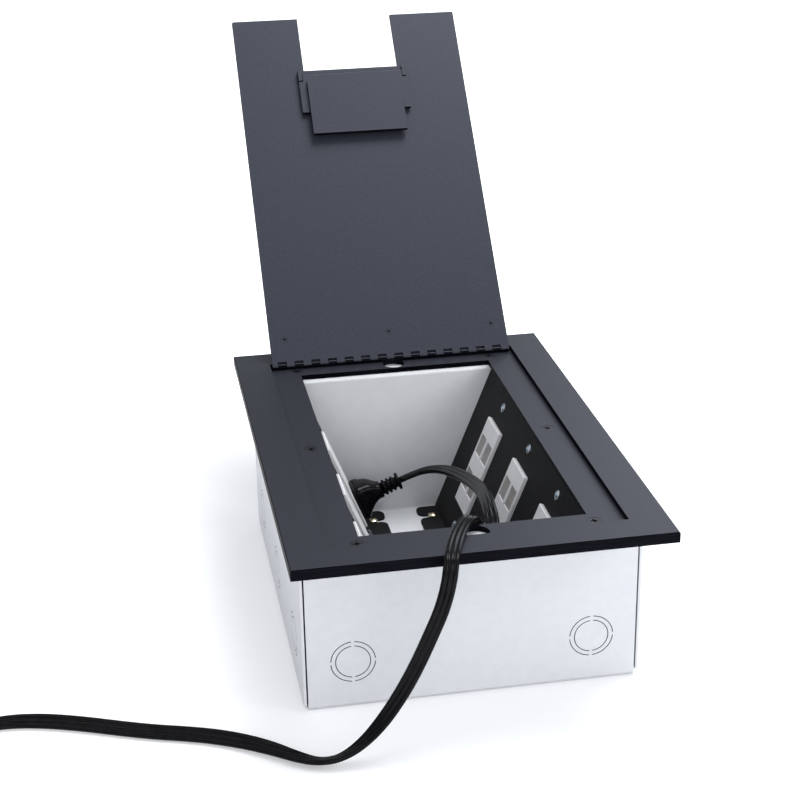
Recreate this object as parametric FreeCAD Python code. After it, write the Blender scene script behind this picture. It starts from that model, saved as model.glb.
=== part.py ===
import FreeCAD, Part
import math
import os

from FreeCAD import Vector, Rotation, Placement

# Floor socket box with its lid standing open.  Millimetres.
# +X is to the right, +Y runs from the cable notch end to the hinge end, +Z is up.
# The origin is the middle of the box's underside.

os.makedirs("parts", exist_ok=True)

# ---------------------------------------------------------------- driving sizes

# rim: a ring on a ledge plate
rim_width = 230.4            # X
rim_length = 343.4           # Y
ring_thickness = 3.3
ledge_thickness = 3.5
ring_side = 24.55            # width of the ring's sides and ends
ring_end = 22.6
ledge_side = 20.9            # width of the ledge inside the ring
ledge_end = 18.25
edge_break = 0.6

# box: one folded sheet
box_side_inset = 9.2         # side wall inside the rim's edge
box_end_cover = 0.15         # end wall's outer face behind the opening's edge
box_sheet = 1.6
box_bend = 1.6               # inner bend radius
box_lip = 20.0               # front and back lips, measured from the wall's outer face
corner_slit = 1.0
corner_relief = 4.5

knockout_height = 32.0       # centre above the floor
knockout_outer = 28.2        # diameters
knockout_inner = 22.2
knockout_side_inset = 31.0   # front and back walls, from the box's side
knockout_end_inset = 41.0    # side walls, from the box's end
knockout_groove = 0.6
knockout_depth = 1.1
knockout_tab = 2.0

# device panels: folded sheet, leaning inwards at the foot
panel_sheet = 1.5
panel_bend = 1.5
panel_tilt = 22.0            # degrees from upright
panel_cover = 2.95           # ledge's edge over the panel's face, at the top of the box
panel_end_gap = 0.4          # to the end walls
panel_side_gap = 0.3         # to the side walls
foot_length = 16.22          # from the panel's lower corner
foot_screw_setback = 10.1    # from the foot's free edge
foot_screw_inset = 20.0      # from the box's end
foot_slot_width = 4.6
foot_lobe_radius = 5.0       # rounded corners beside the open slots

# devices
device_pitch = 73.15
device_face_width = 33.4
device_face_length = 67.4
device_window_gap = 0.3      # round the face
device_top_clear = 7.3       # strap's end to the top of the box, down the slope
device_foot_clear = 5.45     # strap's other end to the panel's foot
device_proud = 2.6
device_screw_spacing = 96.8
strap_width = 33.0
strap_past_screw = 4.6
strap_sheet = 1.3
strap_corner = 3.0
strap_rail = 3.0             # strap behind the face's long edges
strap_end = 1.0              # strap behind the face's short edges
face_bevel = 0.6
housing_width = 32.0
housing_length = 66.0
housing_depth = 22.0
housing_corner = 3.0
housing_boss_gap = 0.2       # housing's boss in the strap's window
slot_depth = 20.0            # blade slots, behind the face
outlet_spacing = 39.0        # between the two outlets of a receptacle
blade_spacing = 12.7
blade_rise = 4.0             # the blades' line above an outlet's middle
blade_slot_gap = 0.3
port_width = 13.3
port_length = 15.2
port_column_spacing = 16.4
port_row_spacing = 27.3
port_recess = 0.8
port_blank_sheet = 1.2
blank_finger_width = 6.0     # the blank's foot, down to the strap
blank_finger_depth = 1.2

# lid and its hinge
lid_thickness = 3.0
lid_side_gap = 1.65
lid_front_gap = 1.0
lid_rest_gap = 0.3           # closed lid above the ledge plate
lid_open_angle = 133.0
hinge_setback = 3.2          # hinge axis in front of the ring's back step
knuckle_radius = 1.9
hinge_pin_radius = 0.9
pin_clearance = 0.05
knuckle_gap = 0.35
frame_knuckles = 14
first_knuckle = 4.2          # cut-down knuckles at the left and right ends
last_knuckle = 6.4
hinge_sheet = 1.2
lid_leaf_width = 25.0
frame_leaf_width = 17.0
knuckle_window = 1.0         # clearance of a leaf round the other leaf's knuckles
leaf_pocket_gap = 0.2
lid_back_gap = 0.4           # lid's back edge to the knuckles
pin_short = 0.5              # hinge pin inside the end knuckles, each end

# cable notch and cable door
notch_width = 74.6
notch_depth = 47.5
door_gap = 0.6
door_near_gap = 0.5
door_axis_inset = 6.1        # from the notch's base back to the door's axis
door_axis_drop = 1.9         # below the lid's underside
door_barrel_radius = 1.7
door_pin_radius = 0.8
door_sheet = 3.0
backing_sheet = 2.5
backing_lap = 6.0            # each side of the door
backing_end_gap = 1.8        # closed backing to the box's front wall
door_set = 0.1               # closed door below flush
lug_width = 3.0
lug_gap = 0.4
lug_reach_back = 5.4         # from the door's axis, away from the notch
lug_reach_front = 5.0
lug_corner = 1.2
lug_end_gap = 0.8            # backing in front of the lugs
door_pin_short = 0.2
lid_corner = 1.0

# fasteners
ledge_screw_inset = 18.65    # the four corner screws, from the recess's side
ledge_screw_head = 8.4
ledge_screw_shank = 4.0
countersink_angle = 82.0
ledge_screw_length = 9.0
screw_sink = 0.1             # countersunk heads below flush
cross_of_head = 0.55         # cross recess across a countersunk head
cross_depth = 1.2
ring_screw_inset = 6.4       # from the ring's inner edge, side screws
ring_screw_y = 80.0
ring_screw_side = 45.2       # end screws, from the rim's side
ring_screw_bite = 2.5        # into the ring
ring_screw_head = 6.0
ring_screw_shank = 3.0
leaf_screw_head = 5.2
leaf_screw_shank = 2.4
leaf_screw_length = 2.4
leaf_screw_inset = 11.0      # from the lid's side
leaf_screw_drop = 20.6       # from the hinge axis
pan_head = 6.8
pan_height = 2.4
pan_shoulder = 1.1           # height of the head's upright edge
pan_shank = 3.5
device_screw_past = 3.0      # through the strap
screw_hole_gap = 0.1
rim_hole = 15.9              # the two large holes in the ledge plate, diameter

# plug and lead
outlet_used_drop = outlet_spacing / 2
blade_width = 6.35
blade_thickness = 1.5
blade_length = 17.5
ground_pin = 4.7
ground_drop = 11.9           # from the blades' line to the round pin
plug_base_width = 23.6
plug_base_height = 25.8
plug_neck = 12.5
plug_body_length = 20.0
plug_base_depth = 7.0        # upright part of the plug's sides
plug_taper_depth = 15.0      # where the taper meets the neck
plug_corner = 5.5
relief_length = 14.5
relief_core = 4.6            # radius at the plug; the ribs and the end collar stand out from it
relief_core_end = 3.9
relief_rib = 5.6
relief_rib_width = 1.7
relief_rib_pitch = 3.2
relief_collar = 6.0
straight_out = 14.0          # lead leaves the plug straight
cord_diameter = 6.0
coil_radius = 49.0           # mean
coil_turns_height = 14.0
coil_band = 12.0
coil_centre = Vector(-376, -78, 0)
connector_length = 38.0
connector_neck = 12.0
connector_width = 26.0
connector_height = 17.0
connector_corner = 3.5
connector_slot = 2.0         # three blade slots, side by side
connector_slot_height = 4.4
connector_slot_depth = 12.0
connector_slot_pitch = 6.0

# ---------------------------------------------------------------- worked-out places

tilt = math.radians(panel_tilt)
strap_length = device_screw_spacing + 2 * strap_past_screw
device_centre_drop = device_top_clear + strap_length / 2
panel_slope = device_top_clear + strap_length + device_foot_clear
box_height = box_sheet + panel_sheet + panel_slope * math.cos(tilt)

recess_width = rim_width - 2 * ring_side
recess_length = rim_length - 2 * ring_end
opening_width = recess_width - 2 * ledge_side
opening_length = recess_length - 2 * ledge_end
box_width = rim_width - 2 * box_side_inset
box_length = opening_length + 2 * box_end_cover
ledge_bottom = box_height
ledge_top = ledge_bottom + ledge_thickness
rim_top = ledge_top + ring_thickness
half_box_x = box_width / 2
half_box_y = box_length / 2
half_open_x = opening_width / 2
half_open_y = opening_length / 2
side_ledge_x = (opening_width + recess_width) / 4
end_ledge_y = (opening_length + recess_length) / 4
ledge_screw_x = recess_width / 2 - ledge_screw_inset
ledge_screw_places = [(sx * ledge_screw_x, sy * end_ledge_y) for sx in (-1, 1) for sy in (-1, 1)]
ledge_screw_places += [(-side_ledge_x, 0.0), (side_ledge_x, 0.0)]
ring_screw_places = [(sx * (recess_width / 2 + ring_screw_inset), sy * ring_screw_y)
                     for sx in (-1, 1) for sy in (-1, 1)]
ring_screw_places += [(sx * (rim_width / 2 - ring_screw_side), sy * (rim_length + recess_length) / 4)
                      for sx in (-1, 1) for sy in (-1, 1)]

hinge_y = recess_length / 2 - hinge_setback
hinge_z = ledge_top + lid_rest_gap + knuckle_radius
lid_width = recess_width - 2 * lid_side_gap
lid_bottom = ledge_top + lid_rest_gap
lid_top = lid_bottom + lid_thickness
lid_front = -recess_length / 2 + lid_front_gap
lid_back = hinge_y - knuckle_radius - lid_back_gap
hinge_left = -lid_width / 2
hinge_right = lid_width / 2
knuckle_pitch = (lid_width - first_knuckle - last_knuckle) / (2 * frame_knuckles - 1)
leaf_screw_x = lid_width / 2 - leaf_screw_inset
notch_base = lid_front + notch_depth
door_axis_y = notch_base + door_axis_inset
door_axis_z = lid_bottom - door_axis_drop

knockout_x = half_box_x - knockout_side_inset
knockout_y = half_box_y - knockout_end_inset
panel_face_x = half_open_x + panel_cover
panel_foot_z = box_sheet + panel_sheet / 2
panel_corner_x = (panel_face_x + panel_sheet / 2 / math.cos(tilt)
                  - (box_height - panel_foot_z) * math.tan(tilt))
foot_edge_x = panel_corner_x - foot_length
foot_screw_x = foot_edge_x + foot_screw_setback
foot_screw_y = half_box_y - foot_screw_inset
device_places = {"front": -device_pitch, "middle": 0.0, "back": device_pitch}


# ---------------------------------------------------------------- helpers

def box(x0, x1, y0, y1, z0, z1):
    return Part.makeBox(x1 - x0, y1 - y0, z1 - z0, Vector(x0, y0, z0))


def mirror_x(shape):
    return shape.mirror(Vector(0, 0, 0), Vector(1, 0, 0))


def write(name, shape):
    if not shape.isValid():
        print("not valid:", name)
    shape.exportStep("parts/" + name + ".step")
    print(name, len(shape.Solids), round(shape.Volume, 1))


def folded_sheet(path, thickness, bend):
    """Face of a folded sheet in the XZ plane; path is its centreline as (x, z) corners."""
    points = [Vector(a, 0, b) for a, b in path]
    sides = {1: [], -1: []}
    for side in (1, -1):
        last = None
        for i in range(len(points)):
            if 0 < i < len(points) - 1:
                before = (points[i] - points[i - 1]).normalize()
                after = (points[i + 1] - points[i]).normalize()
                turn = math.atan2(before.z * after.x - before.x * after.z, before.dot(after))
                reach = (bend + thickness / 2) * abs(math.tan(turn / 2))
                start, end = points[i] - before * reach, points[i] + after * reach
                normals = [Vector(-d.z, 0, d.x) * (side * thickness / 2) for d in (before, after)]
                a, b = start + normals[0], end + normals[1]
                inward = (after - before).normalize()
                centre = start + inward_normal(before, inward) * (bend + thickness / 2)
                radius = (a - centre).Length
                out = (points[i] - centre).normalize()
                middle = centre + out * radius
                if last is not None:
                    sides[side].append(Part.LineSegment(last, a).toShape())
                sides[side].append(Part.Arc(a, middle, b).toShape())
                last = b
            else:
                d = (points[1] - points[0]) if i == 0 else (points[-1] - points[-2])
                d.normalize()
                tip = points[i] + Vector(-d.z, 0, d.x) * (side * thickness / 2)
                if last is not None:
                    sides[side].append(Part.LineSegment(last, tip).toShape())
                last = tip
    starts = [sides[s][0].Vertexes[0].Point for s in (1, -1)]
    ends = [sides[s][-1].Vertexes[-1].Point for s in (1, -1)]
    caps = [Part.LineSegment(*starts).toShape(), Part.LineSegment(*ends).toShape()]
    edges = Part.__sortEdges__(sides[1] + sides[-1] + caps)
    return Part.Face(Part.Wire(edges))


def inward_normal(direction, towards):
    """Unit vector square to direction in the XZ plane, on the side of towards."""
    normal = Vector(-direction.z, 0, direction.x)
    return normal if normal.dot(towards) > 0 else normal * -1


def swept_y(face, y0, y1):
    face = face.copy()
    face.translate(Vector(0, y0, 0))
    return face.extrude(Vector(0, y1 - y0, 0))


def rounded_plate(x0, x1, y0, y1, z0, z1, radius):
    plate = box(x0, x1, y0, y1, z0, z1)
    upright = [e for e in plate.Edges if abs(e.tangentAt(e.FirstParameter).z) > 0.9]
    return plate.makeFillet(radius, upright)


def countersunk(x, y, top, head, shank, length, grow=0.0):
    """Countersunk screw body, head face at top, pointing down; grow makes its hole."""
    depth = (head - shank) / 2 / math.tan(math.radians(countersink_angle / 2))
    profile = [Vector(0, 0, 0), Vector(head / 2 + grow, 0, 0), Vector(shank / 2 + grow, 0, -depth),
               Vector(shank / 2 + grow, 0, -length), Vector(0, 0, -length), Vector(0, 0, 0)]
    body = Part.Face(Part.makePolygon(profile)).revolve(Vector(0, 0, 0), Vector(0, 0, 1), 360)
    body.translate(Vector(x, y, top))
    return body


def cross_recess(x, y, top, size, depth):
    bar = box(-size / 2, size / 2, -size / 8, size / 8, -depth, 0.5)
    cross = bar.fuse(bar.rotated(Vector(0, 0, 0), Vector(0, 0, 1), 90))
    return cross.translated(Vector(x, y, top))


def countersunk_screw(x, y, top, head, shank, length):
    recess = cross_recess(x, y, top, head * cross_of_head, cross_depth)
    return countersunk(x, y, top, head, shank, length).cut(recess)


def pan_screw(length):
    """Pan-head screw at the origin, seat at z = 0, head up."""
    radius = pan_head / 2
    shoulder = pan_shoulder
    crown = (radius ** 2 + (pan_height - shoulder) ** 2) / 2 / (pan_height - shoulder)
    half_turn = math.asin(radius / crown) / 2
    midway = Vector(crown * math.sin(half_turn), 0, pan_height - crown * (1 - math.cos(half_turn)))
    edge = Part.Arc(Vector(radius, 0, shoulder), midway, Vector(0, 0, pan_height)).toShape()
    lines = [Vector(0, 0, pan_height), Vector(0, 0, -length), Vector(pan_shank / 2, 0, -length),
             Vector(pan_shank / 2, 0, 0), Vector(radius, 0, 0), Vector(radius, 0, shoulder)]
    edges = [Part.LineSegment(a, b).toShape() for a, b in zip(lines, lines[1:])]
    face = Part.Face(Part.Wire(edges + [edge]))
    screw = face.revolve(Vector(0, 0, 0), Vector(0, 0, 1), 360)
    return screw.cut(cross_recess(0, 0, pan_height, pan_head * cross_of_head, cross_depth))


# ---------------------------------------------------------------- rim

def ledge_plate():
    plate = box(-rim_width / 2, rim_width / 2, -rim_length / 2, rim_length / 2, ledge_bottom, ledge_top)
    cuts = [box(-half_open_x, half_open_x, -half_open_y, half_open_y, ledge_bottom - 1, ledge_top + 1)]
    for x, y in ledge_screw_places:
        cuts.append(countersunk(x, y, ledge_top, ledge_screw_head, ledge_screw_shank,
                                ledge_thickness + 1, screw_hole_gap))
    for x, y in ring_screw_places:
        hole = countersunk(0, 0, 0, ring_screw_head, ring_screw_shank, ledge_thickness + 1, screw_hole_gap)
        hole = hole.rotated(Vector(0, 0, 0), Vector(1, 0, 0), 180)
        cuts.append(hole.translated(Vector(x, y, ledge_bottom)))
    for side in (-1, 1):
        cuts.append(Part.makeCylinder(rim_hole / 2, ledge_thickness + 2,
                                      Vector(0, side * end_ledge_y, ledge_bottom - 1)))
    return plate.cut(cuts)


def trim_ring():
    ring = box(-rim_width / 2, rim_width / 2, -rim_length / 2, rim_length / 2, ledge_top, rim_top)
    outer = [e for e in ring.Edges if abs(e.CenterOfMass.z - rim_top) < 1e-6]
    ring = ring.makeChamfer(edge_break, outer)
    ring = ring.cut(box(-recess_width / 2, recess_width / 2, -recess_length / 2, recess_length / 2,
                        ledge_top - 1, rim_top + 1))
    leaf_pocket = box(hinge_left - leaf_pocket_gap, hinge_right + leaf_pocket_gap, recess_length / 2 - 1,
                      recess_length / 2 + frame_leaf_width + leaf_pocket_gap,
                      ledge_top - 1, ledge_top + hinge_sheet)
    ring = ring.cut(leaf_pocket)
    holes = [Part.makeCylinder(ring_screw_shank / 2 + screw_hole_gap, ring_screw_bite + 1,
                               Vector(x, y, ledge_top - 1)) for x, y in ring_screw_places]
    return ring.cut(holes)


def ledge_screws():
    return Part.Compound([countersunk_screw(x, y, ledge_top - screw_sink, ledge_screw_head,
                                            ledge_screw_shank, ledge_screw_length)
                          for x, y in ledge_screw_places])


def ring_screws():
    screws = []
    for x, y in ring_screw_places:
        screw = countersunk_screw(0, 0, 0, ring_screw_head, ring_screw_shank,
                                  ledge_thickness + ring_screw_bite - 2 * screw_sink)
        screw = screw.rotated(Vector(0, 0, 0), Vector(1, 0, 0), 180)
        screws.append(screw.translated(Vector(x, y, ledge_bottom + screw_sink)))
    return Part.Compound(screws)


# ---------------------------------------------------------------- box

def knockout_grooves(centre, axis):
    """Two broken circular grooves, cut from the outer face inwards along -axis."""
    rings = []
    for diameter, tab_angles in ((knockout_outer, (0, 90, 180, 270)), (knockout_inner, (90, 270))):
        outer = Part.makeCylinder(diameter / 2, knockout_depth + 1, Vector(0, 0, -knockout_depth))
        inner = Part.makeCylinder(diameter / 2 - knockout_groove, knockout_depth + 1,
                                  Vector(0, 0, -knockout_depth))
        ring = outer.cut(inner)
        for angle in tab_angles:
            tab = box(diameter / 2 - 2, diameter / 2 + 1, -knockout_tab / 2, knockout_tab / 2,
                      -knockout_depth - 1, 2)
            ring = ring.cut(tab.rotated(Vector(0, 0, 0), Vector(0, 0, 1), angle))
        rings.append(ring)
    turn = Rotation(Vector(0, 0, 1), axis)
    grooves = Part.Compound(rings)
    grooves.Placement = Placement(centre, turn)
    return grooves


def back_box():
    half = box_sheet / 2
    lip_z = box_height - half
    end_face = half_box_y - half
    end_path = [(-half_box_y - box_lip, lip_z), (-end_face, lip_z), (-end_face, half),
                (end_face, half), (end_face, lip_z), (half_box_y + box_lip, lip_z)]
    ends = swept_y(folded_sheet(end_path, box_sheet, box_bend),
                   -(half_box_x - box_sheet - corner_slit), half_box_x - box_sheet - corner_slit)
    ends = ends.rotated(Vector(0, 0, 0), Vector(0, 0, 1), 90)
    side_face = half_box_x - half
    side_path = [(-side_face, box_height), (-side_face, half), (side_face, half), (side_face, box_height)]
    sides = swept_y(folded_sheet(side_path, box_sheet, box_bend), -half_box_y, half_box_y)
    for side in (-1, 1):
        y0, y1 = sorted((side * (half_box_y - corner_relief), side * (half_box_y + 1)))
        sides = sides.cut(box(-half_box_x - 1, half_box_x + 1, y0, y1, -1, corner_relief))
    shell = ends.fuse(sides).removeSplitter()
    cuts = []
    for side in (-1, 1):
        for x in (-knockout_x, knockout_x):
            cuts.append(knockout_grooves(Vector(x, side * half_box_y, knockout_height), Vector(0, side, 0)))
        for y in (-knockout_y, 0, knockout_y):
            cuts.append(knockout_grooves(Vector(side * half_box_x, y, knockout_height), Vector(side, 0, 0)))
        for y in (-end_ledge_y, end_ledge_y):
            cuts.append(Part.makeCylinder(ledge_screw_shank / 2 + screw_hole_gap, box_sheet + 2,
                                          Vector(side * ledge_screw_x, y, box_height - box_sheet - 1)))
        for y in (-foot_screw_y, foot_screw_y):
            cuts.append(Part.makeCylinder(pan_shank / 2 + screw_hole_gap, box_sheet + 2,
                                          Vector(side * foot_screw_x, y, -1)))
    return shell.cut(cuts)


# ---------------------------------------------------------------- device panels

def on_panel(shape):
    """Place a shape drawn on the right panel's face: x down the slope, y along the box, z out of it.

    The drawing's origin is on the face at the top of the box.
    """
    down = Vector(-math.sin(tilt), 0, -math.cos(tilt))
    along = Vector(0, 1, 0)
    out = Vector(-math.cos(tilt), 0, math.sin(tilt))
    matrix = FreeCAD.Matrix(down.x, along.x, out.x, panel_face_x,
                            down.y, along.y, out.y, 0,
                            down.z, along.z, out.z, box_height, 0, 0, 0, 1)
    placed = shape.copy()
    placed.transformShape(matrix)
    return placed


def device_panel():
    half = panel_sheet / 2
    flange_z = box_height - half
    corner_top = panel_face_x + half / math.cos(tilt) - half * math.tan(tilt)
    path = [(half_box_x - box_sheet - panel_side_gap, flange_z), (corner_top, flange_z),
            (panel_corner_x, panel_foot_z), (foot_edge_x, panel_foot_z)]
    reach = half_box_y - box_sheet - panel_end_gap
    panel = swept_y(folded_sheet(path, panel_sheet, panel_bend), -reach, reach)
    bend_clear = half_box_y - box_sheet - box_bend - panel_end_gap
    cuts = []
    for side in (-1, 1):
        y0, y1 = sorted((side * bend_clear, side * half_box_y))
        cuts.append(box(0, half_box_x, y0, y1, 0, box_sheet + box_bend + panel_end_gap))
    for y in (-foot_screw_y, foot_screw_y):
        slot = box(foot_edge_x - 1, foot_screw_x, y - foot_slot_width / 2, y + foot_slot_width / 2,
                   box_sheet - 1, box_sheet + panel_sheet + 1)
        end = Part.makeCylinder(foot_slot_width / 2, panel_sheet + 2, Vector(foot_screw_x, y, box_sheet - 1))
        cuts.append(slot.fuse(end))
    cuts.append(Part.makeCylinder(ledge_screw_shank / 2 + screw_hole_gap, panel_sheet + 2,
                                  Vector(side_ledge_x, 0, box_height - panel_sheet - 1)))
    panel = panel.cut(cuts)
    lobes = [e for e in panel.Edges if abs(e.CenterOfMass.x - foot_edge_x) < 0.01
             and abs(e.tangentAt(e.FirstParameter).z) > 0.9]
    panel = panel.makeFillet(foot_lobe_radius, lobes)
    windows = []
    for y in device_places.values():
        w = device_face_width / 2 + device_window_gap
        h = device_face_length / 2 + device_window_gap
        windows.append(on_panel(box(device_centre_drop - h, device_centre_drop + h, y - w, y + w,
                                    -panel_sheet - 1, 1)))
        for side in (-1, 1):
            hole = Part.makeCylinder(pan_shank / 2 + screw_hole_gap, panel_sheet + 2,
                                     Vector(device_centre_drop + side * device_screw_spacing / 2, y,
                                            -panel_sheet - 1))
            windows.append(on_panel(hole))
    return panel.cut(windows)


def foot_screws():
    screw = pan_screw(panel_sheet + box_sheet - screw_sink)
    return Part.Compound([screw.translated(Vector(sx * foot_screw_x, sy * foot_screw_y,
                                                  box_sheet + panel_sheet))
                          for sx in (-1, 1) for sy in (-1, 1)])


def device_screws():
    screw = pan_screw(panel_sheet + strap_sheet + device_screw_past)
    places = [(device_centre_drop + side * device_screw_spacing / 2, y)
              for y in device_places.values() for side in (-1, 1)]
    return on_panel(Part.Compound([screw.translated(Vector(x, y, 0)) for x, y in places]))


# ---------------------------------------------------------------- devices, drawn on the panel's face

def device_strap(y):
    """Metal mounting strap behind the panel, with the screw holes at its ends."""
    half_length, half_width = strap_length / 2, strap_width / 2
    c = device_centre_drop
    strap = rounded_plate(c - half_length, c + half_length, y - half_width, y + half_width,
                          -panel_sheet - strap_sheet, -panel_sheet, strap_corner)
    w, h = device_face_width / 2 - strap_rail, device_face_length / 2 - strap_end
    strap = strap.cut(box(c - h, c + h, y - w, y + w, -panel_sheet - strap_sheet - 1, 0))
    holes = [Part.makeCylinder(pan_shank / 2 + screw_hole_gap, strap_sheet + 2,
                               Vector(c + side * device_screw_spacing / 2, y, -panel_sheet - strap_sheet - 1))
             for side in (-1, 1)]
    return strap.cut(holes)


def device_face(y):
    """Moulded face: a bevelled block through the panel's window, seated on the strap."""
    c = device_centre_drop
    w, h = device_face_width / 2, device_face_length / 2
    block = box(c - h, c + h, y - w, y + w, -panel_sheet, device_proud)
    top = [e for e in block.Edges if abs(e.CenterOfMass.z - device_proud) < 1e-6]
    return block.makeChamfer(face_bevel, top)


def blade_slots(y, grow, depth_from, depth_to):
    """The two blade slots and the round earth hole of both outlets."""
    c = device_centre_drop
    cuts = []
    for side in (-1, 1):
        blades_x = c + side * outlet_spacing / 2 - blade_rise
        for blade in (-1, 1):
            b = y + blade * blade_spacing / 2
            cuts.append(box(blades_x - blade_width / 2 - grow, blades_x + blade_width / 2 + grow,
                            b - blade_thickness / 2 - grow, b + blade_thickness / 2 + grow,
                            depth_from, depth_to))
        cuts.append(Part.makeCylinder(ground_pin / 2 + grow, depth_to - depth_from,
                                      Vector(blades_x + ground_drop, y, depth_from)))
    return cuts


def receptacle_face(y):
    face = device_face(y)
    return face.cut(blade_slots(y, blade_slot_gap, -panel_sheet - 1, device_proud + 1))


def receptacle_body(y):
    """Rear housing with the cavities that take the plug's blades."""
    c = device_centre_drop
    front = -panel_sheet - strap_sheet
    w, h = housing_width / 2, housing_length / 2
    boss_w = device_face_width / 2 - strap_rail - housing_boss_gap
    boss_h = device_face_length / 2 - strap_end - housing_boss_gap
    housing = rounded_plate(c - h, c + h, y - w, y + w, front - housing_depth, front, housing_corner)
    boss = box(c - boss_h, c + boss_h, y - boss_w, y + boss_w, front - 1, -panel_sheet)
    return housing.fuse(boss).cut(blade_slots(y, blade_slot_gap, -slot_depth, 0))


def port_places(y):
    return [(device_centre_drop + row * port_row_spacing / 2, y + column * port_column_spacing / 2)
            for row in (-1, 1) for column in (-1, 1)]


def data_insert(y):
    face = device_face(y)
    ports = [box(x - port_length / 2, x + port_length / 2, p - port_width / 2, p + port_width / 2,
                 -panel_sheet - 1, device_proud + 1) for x, p in port_places(y)]
    return face.cut(ports)


def data_port_blanks(y):
    top = device_proud - port_recess
    blanks = []
    for x, p in port_places(y):
        blank = box(x - port_length / 2, x + port_length / 2, p - port_width / 2, p + port_width / 2,
                    top - port_blank_sheet, top)
        finger = box(x - port_length / 2, x - port_length / 2 + blank_finger_depth,
                     p - blank_finger_width / 2, p + blank_finger_width / 2,
                     -panel_sheet, top - port_blank_sheet)
        blanks.append(blank.fuse(finger))
    return Part.Compound(blanks)


# ---------------------------------------------------------------- lid hinge

def knuckle_spans():
    """X spans of all knuckles from left to right; even ones belong to the lid."""
    spans = [(hinge_left, hinge_left + first_knuckle)]
    x = spans[0][1]
    for _ in range(2 * frame_knuckles - 1):
        spans.append((x, x + knuckle_pitch))
        x += knuckle_pitch
    spans.append((x, hinge_right))
    return spans


def knuckle(x0, x1):
    barrel = Part.makeCylinder(knuckle_radius, x1 - x0 - knuckle_gap,
                               Vector(x0 + knuckle_gap / 2, hinge_y, hinge_z), Vector(1, 0, 0))
    return barrel


def hinge_bore():
    return Part.makeCylinder(hinge_pin_radius + pin_clearance, hinge_right - hinge_left + 2,
                             Vector(hinge_left - 1, hinge_y, hinge_z), Vector(1, 0, 0))


def leaf_between_knuckles(leaf, spans, y0, y1, z0, z1):
    """Cut windows in a leaf where the other leaf's knuckles turn."""
    return leaf.cut([box(a - knuckle_gap / 2, b + knuckle_gap / 2, y0, y1, z0, z1) for a, b in spans])


def leaf_screw_holes():
    hole = countersunk(0, 0, 0, leaf_screw_head, leaf_screw_shank, leaf_screw_length + 0.1, screw_hole_gap)
    hole = hole.rotated(Vector(0, 0, 0), Vector(1, 0, 0), 180)
    return [hole.translated(Vector(x, hinge_y - leaf_screw_drop, lid_bottom))
            for x in (-leaf_screw_x, 0, leaf_screw_x)]


def hinge_lid_leaf():
    spans = knuckle_spans()
    leaf = box(hinge_left, hinge_right, hinge_y - lid_leaf_width, hinge_y, lid_bottom,
               lid_bottom + hinge_sheet)
    leaf = leaf_between_knuckles(leaf, spans[1::2], hinge_y - knuckle_radius - knuckle_window,
                                 hinge_y + 1, lid_bottom - 1, lid_bottom + hinge_sheet + 1)
    leaf = leaf.cut(leaf_screw_holes())
    barrels = [knuckle(a, b) for a, b in spans[0::2]]
    return leaf.fuse(barrels).cut(hinge_bore())


def hinge_frame_leaf():
    spans = knuckle_spans()
    z0 = ledge_top
    z1 = ledge_top + hinge_sheet
    leaf = box(hinge_left, hinge_right, hinge_y, recess_length / 2 + frame_leaf_width, z0, z1)
    leaf = leaf_between_knuckles(leaf, spans[0::2], hinge_y - 1,
                                 hinge_y + knuckle_radius + knuckle_window, z0 - 1, z1 + 1)
    holes = [Part.makeCylinder(ring_screw_shank / 2 + screw_hole_gap, hinge_sheet + 2, Vector(x, y, z0 - 1))
             for x, y in ring_screw_places if y > hinge_y]
    barrels = [knuckle(a, b) for a, b in spans[1::2]]
    return leaf.cut(holes).fuse(barrels).cut(hinge_bore())


def hinge_pin():
    return Part.makeCylinder(hinge_pin_radius, hinge_right - hinge_left - 2 * pin_short,
                             Vector(hinge_left + pin_short, hinge_y, hinge_z), Vector(1, 0, 0))


# ---------------------------------------------------------------- lid and cable door, drawn closed

def opened_lid(shape):
    return shape.rotated(Vector(0, hinge_y, hinge_z), Vector(1, 0, 0), -lid_open_angle)


def folded_door(shape):
    turned = shape.rotated(Vector(0, door_axis_y, door_axis_z), Vector(1, 0, 0), 180)
    return opened_lid(turned)


def lid_plate():
    plate = box(-lid_width / 2, lid_width / 2, lid_front, lid_back, lid_bottom, lid_top)
    front = [e for e in plate.Edges if abs(e.tangentAt(e.FirstParameter).z) > 0.9
             and e.CenterOfMass.y < 0]
    plate = plate.makeFillet(lid_corner, front)
    plate = plate.cut(box(-notch_width / 2, notch_width / 2, lid_front - 1, notch_base,
                          lid_bottom - 1, lid_top + 1))
    pocket = box(-lid_width / 2 - 1, lid_width / 2 + 1, hinge_y - lid_leaf_width, lid_back + 1,
                 lid_bottom - 1, lid_bottom + hinge_sheet)
    return plate.cut([pocket] + leaf_screw_holes())


def lid_hinge_screws():
    screws = []
    for x in (-leaf_screw_x, 0, leaf_screw_x):
        screw = countersunk_screw(0, 0, 0, leaf_screw_head, leaf_screw_shank, leaf_screw_length)
        screw = screw.rotated(Vector(0, 0, 0), Vector(1, 0, 0), 180)
        screws.append(screw.translated(Vector(x, hinge_y - leaf_screw_drop, lid_bottom + 0.05)))
    return Part.Compound(screws)


def door_hinge_lugs():
    outer = notch_width / 2 - door_gap + backing_lap
    height = 2 * door_axis_drop
    lug = rounded_lug(outer - lug_width, outer, height)
    bore = Part.makeCylinder(door_pin_radius, lug_width + 2,
                             Vector(outer - lug_width - 1, door_axis_y, door_axis_z), Vector(1, 0, 0))
    right = lug.cut(bore)
    return Part.Compound([mirror_x(right), right])


def rounded_lug(x0, x1, height):
    lug = box(x0, x1, door_axis_y - lug_reach_front, door_axis_y + lug_reach_back,
              lid_bottom - height, lid_bottom)
    low = [e for e in lug.Edges if abs(e.tangentAt(e.FirstParameter).x) > 0.9
           and e.CenterOfMass.z < lid_bottom - 1]
    return lug.makeFillet(lug_corner, low)


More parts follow.
